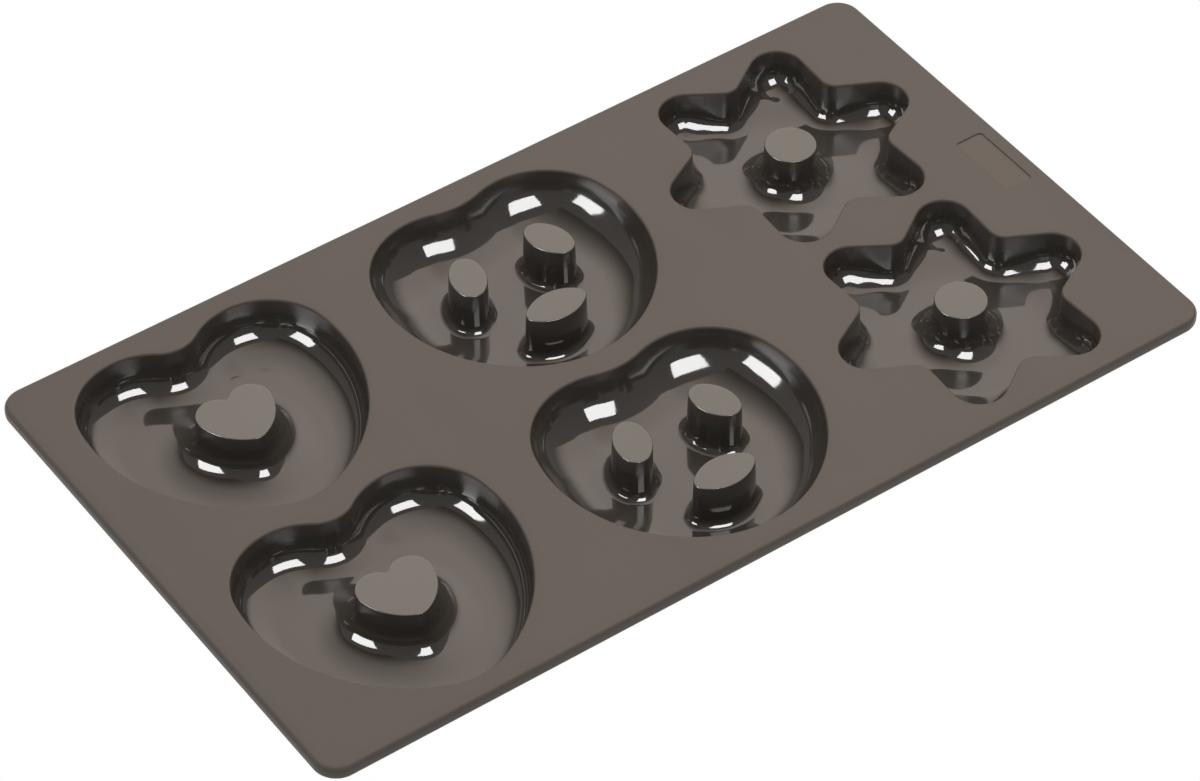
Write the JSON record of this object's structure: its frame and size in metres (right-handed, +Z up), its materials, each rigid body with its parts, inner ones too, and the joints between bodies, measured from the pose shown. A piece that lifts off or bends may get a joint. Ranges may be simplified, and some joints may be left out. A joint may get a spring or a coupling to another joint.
{
  "type": "silicone gingerbread mold",
  "caption": "Flat silicone baking mould with a raised deck, a stiff rim and heart, pretzel and star cavities whose hollow cores leave the holes in gingerbread.",
  "frame": {"origin": "centre of the footprint, on the plane that the undersides of the cavities rest on", "axes": "+X along the long side from the hearts to the stars, +Y to the back row, +Z up out of the cavities"},
  "size_m": [0.3, 0.172, 0.0163],
  "materials": {
    "satin_silicone": "satin brown moulded face",
    "gloss_silicone": "polished brown moulded face"
  },
  "bodies": {
    "root": {"deck": "satin_silicone", "rim": "satin_silicone", "heart_1_wall": "gloss_silicone", "heart_1_floor": "gloss_silicone", "heart_1_core": "satin_silicone", "heart_2_wall": "gloss_silicone", "heart_2_floor": "gloss_silicone", "heart_2_core": "satin_silicone", "pretzel_1_wall": "gloss_silicone", "pretzel_1_floor": "gloss_silicone", "pretzel_1_left_core": "satin_silicone", "pretzel_1_right_core": "satin_silicone", "pretzel_1_lower_core": "satin_silicone", "pretzel_2_wall": "gloss_silicone", "pretzel_2_floor": "gloss_silicone", "pretzel_2_left_core": "satin_silicone", "pretzel_2_right_core": "satin_silicone", "pretzel_2_lower_core": "satin_silicone", "star_1_wall": "gloss_silicone", "star_1_floor": "gloss_silicone", "star_1_core": "satin_silicone", "star_2_wall": "gloss_silicone", "star_2_floor": "gloss_silicone", "star_2_core": "satin_silicone"}
  },
  "joints": []
}
